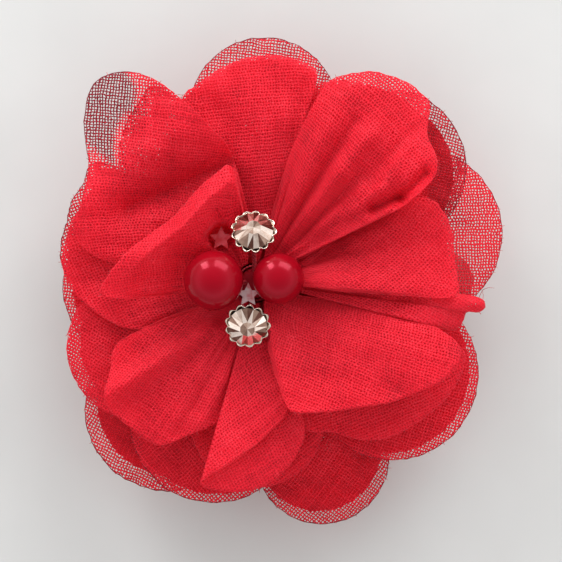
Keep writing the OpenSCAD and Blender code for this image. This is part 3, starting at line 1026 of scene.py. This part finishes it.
def pearl_piece(node):
    """A smooth round pearl."""
    bm = bmesh.new()
    bmesh.ops.create_icosphere(bm, subdivisions=5, radius=radius_mm(node))
    bm.verts.index_update()
    verts = np.array([v.co for v in bm.verts]) + centre_mm(node)
    faces = [[v.index for v in face.verts] for face in bm.faces]
    bm.free()
    dress(new_object(node + "_lacquered", verts, faces), "pearl", node)


def helix(start, end, radius, pitch, steps=10):
    """Points of a helix round the line from start to end."""
    length = norm(end - start)
    axis = unit(end - start)
    across = unit(np.cross(axis, [0.3, 0.5, 0.2]))
    count = int(steps * length / pitch)
    turn = 2 * np.pi * np.arange(count)[:, None] / steps
    return (start + axis * np.linspace(0, length, count)[:, None]
            + radius * (np.cos(turn) * across + np.sin(turn) * np.cross(axis, across)))


STEM_R = 0.16
WINDING_R = 0.085


def stems():
    """The beads' wires, each wound with crimson thread from the glue to the bead."""
    top = np.array([*HEART, box_mm("glue_core")[1][2]])
    parts = []
    for node, drop in (("pearl_large", 0), ("pearl_small", 0), ("cup_upper", 1.2), ("cup_lower", 1.2)):
        bead = centre_mm(node) - [0, 0, drop]
        root = top + [*(0.7 * unit((bead - top)[:2])), -0.4]
        end = bead - 0.7 * unit(bead - root)
        parts.append(tube([root, (root + end) / 2, end], STEM_R, 12))
        parts.append(tube(helix(root, end, 2 * WINDING_R, 2 * WINDING_R), WINDING_R, 6))
    dress(new_object("bead_stems_wound", *merged(parts)), "thread", "bead_stems")


# ---- heart, felt and clip ----


def glue_mound():
    """The mound of glue in the heart, painted dark red: the red cloth through the clear glue, in painted
    shade.
    """
    low, high = box_mm("glue_core")
    r = radius_mm("glue_core")
    profile = [(0, low[2]), (0.96 * r, low[2]), (r, low[2] + 0.3), (r, high[2] - 0.5),
               (0.93 * r, high[2] - 0.2), (0.75 * r, high[2] - 0.06), (0.4 * r, high[2] - 0.02),
               (0, high[2])]
    verts, faces = turned(profile, 40)
    mound = new_object("glue_core_set", uneven(verts, 0.06, 0.8) + [*HEART, 0], faces)
    dress(mound, "glue", "glue_core", material="glue_painted_shade")


def squeezed_glue():
    """The long pad of glue squeezed out over the clip, with bulging sides."""
    low, high = box_mm("glue_pad")
    x, y, _ = centre_mm("glue_pad")
    length, width, depth = high - low
    sides = 120
    swell = ((0, -0.9), (0, -0.12), (0.25, 0.06), (0.5, 0.12), (0.75, 0.06), (1, -0.12), (1, -0.9))
    rings = []
    for share, grow in swell:
        for k in range(sides):
            a = 2 * math.pi * k / sides
            bulge = 0.12 * noise.noise(Vector((3 * math.cos(a), 3 * math.sin(a), 4))) if grow > -0.5 else 0
            r = width / 2 + grow + bulge
            end = math.copysign((length - width) / 2, math.cos(a))
            rings.append((x + end + r * math.cos(a), y + r * math.sin(a), low[2] + share * depth))
    pad = new_object("glue_pad_squeezed", rings, capped(len(swell), sides))
    dress(outward(pad), "glue", "glue_pad")


def felt_piece():
    """A disc of felt cut by hand, with a soft edge."""
    low, high = box_mm("felt_backing")
    z0, z1 = low[2], high[2]
    r = radius_mm("felt_backing")
    lower = [(r * k / 24, z0) for k in range(24)] + [(r * 0.992, z0 + 0.05), (r, z0 + 0.25)]
    upper = [(ring_r, z0 + z1 - z) for ring_r, z in lower[::-1]]
    verts, faces = turned(lower + upper, 180)
    matted = uneven(uneven(verts, 0.05, 0.45), 0.12, 4.0)
    matted[:, 2] = np.clip(matted[:, 2], z0, z1)
    dress(new_object("felt_backing_matted", matted + [*HEART, 0], faces), "felt", "felt_backing")


def gather_thread():
    """Sewing thread wound round the gathered roots, two rows of turns over each other."""
    low, high = box_mm("gather_thread")
    r = radius_mm("gather_thread") - 0.12
    bottom = np.array([*HEART, low[2] + 0.15])
    top = np.array([*HEART, high[2] - 0.15])
    wound = [tube(helix(bottom, top, r, 0.32, 36), 0.11, 8), tube(helix(top, bottom, r, 0.95, 36), 0.11, 8)]
    dress(new_object("gather_thread_wound", *merged(wound)), "thread", "gather_thread")


def spring():
    """The clip's coil spring: a coil round the hinge pin, with a leg along each jaw."""
    low, high = box_mm("jaw_spring")
    x, _, z = centre_mm("hinge_pin")
    wire = 0.28
    r = high[0] - x - wire
    half = high[1] - wire
    turns = 5.5
    whole = 2 * math.pi * turns
    coil = [(x + r * math.sin(a), half * (2 * a / whole - 1), z + r * math.cos(a))
            for a in np.linspace(0, whole, int(28 * turns))]
    leg = x - low[0] - 0.1
    drop = high[2] - wire - z - r
    fall = z - r - low[2] - wire
    upper = [(x - leg + t * leg, -half, high[2] - wire - t * drop) for t in np.linspace(0, 0.96, 12)]
    lower = [(x - t * leg, half, z - r - t * fall) for t in np.linspace(0.04, 1, 12)]
    piece = new_object("jaw_spring_coiled", *tube(upper + coil + lower, wire - 0.01, 14))
    piece.data.materials.append(MATERIALS["spring_wire"])
    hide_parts("jaw_spring")
    above, below = ((x * MM, 0, (z + side) * MM) for side in (1, -1))
    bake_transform(piece)
    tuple(above)
    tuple(below)


# ---- camera, floor and lights ----


def camera():
    """Straight above the flower. The field is the width of the view at the height of the beads."""
    low, high = cad_box
    field = 0.0573
    distance = 0.3
    beads_z = 10 * MM
    data = bpy.data.cameras.new("camera")
    data.sensor_width = 36
    data.lens = data.sensor_width * distance / field
    eye = in_scene("camera", data)
    eye.location = ((low.x + high.x) / 2 + 0.15 * MM, (low.y + high.y) / 2 + 0.05 * MM,
                    beads_z + distance)
    scene.camera = eye


def floor():
    """Plain pale ground under the part."""
    size = 1500
    verts = [(-size, -size, 0), (size, -size, 0), (size, size, 0), (-size, size, 0)]
    ground = new_object("floor", verts, [(0, 1, 2, 3)])
    n = Nodes("floor")
    colour = n.ramp(n.noise(0.08, 4.0), (0.3, (0.57, 0.57, 0.565)), (0.7, (0.6, 0.6, 0.595)))
    ground.data.materials.append(n.principled(Base_Color=colour, Roughness=0.9))


def lamp(name, place, size, energy, colour):
    """A soft rectangular light that faces the flower. Place and size are in metres."""
    data = bpy.data.lights.new(name, "AREA")
    data.shape = "RECTANGLE"
    data.size, data.size_y = size
    data.energy = energy
    data.color = colour
    light = in_scene(name, data)
    light.location = place
    light.rotation_euler = (Vector((0, 0, 0.01)) - Vector(place)).to_track_quat("-Z", "Y").to_euler()


def windows():
    """Two panes of one window beyond the top of the flower."""
    daylight = (0.98, 1.0, 1.0)
    lamp("window_left", (-0.27, 0.45, 0.2), (0.2, 0.28), 1.85, daylight)
    lamp("window_right", (0.22, 0.45, 0.2), (0.42, 0.28), 2.25, daylight)


def room():
    """The light of a pale room, by height from the horizon (0) to straight up (1)."""
    brightness = ((0, 0.5), (0.2, 0.9), (0.45, 1.6), (0.8, 0.76), (1, 0.5))
    n = Nodes("room", "World")
    height = n.put("SeparateXYZ", Vector=n.put("TexCoord").outputs["Generated"]).outputs["Z"]
    colour = n.ramp(height, *((at, (b, 0.995 * b, 0.99 * b)) for at, b in brightness))
    scene.world = n.finish(n.put("Background", Color=colour))


# ---- build ----

camera()
floor()
windows()
room()
scene.view_settings.view_transform = "Standard"
scene.cycles.transparent_max_bounces = 32
build_petals()
pearl_piece("pearl_large")
pearl_piece("pearl_small")
rhinestone("upper", -23)
rhinestone("lower", 19)
stems()
glue_mound()
squeezed_glue()
felt_piece()
gather_thread()
spring()
for node, slot, material in (
    ("upper_jaw", "steel", "steel"),
    ("lower_jaw", "steel", "steel"),
    ("hinge_pin", "steel", "steel"),
    ("star_bead_front", "clear_bead", "clear_bead"),
    ("star_bead_side", "clear_bead", "clear_bead_painted_cloth_red"),
):
    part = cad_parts[node]
    part.data.materials.clear()
    part.data.materials.append(MATERIALS[material])
    add_modifier(part, "worn_edges", "BEVEL", width=0.07 * MM, segments=3, limit_method="ANGLE")
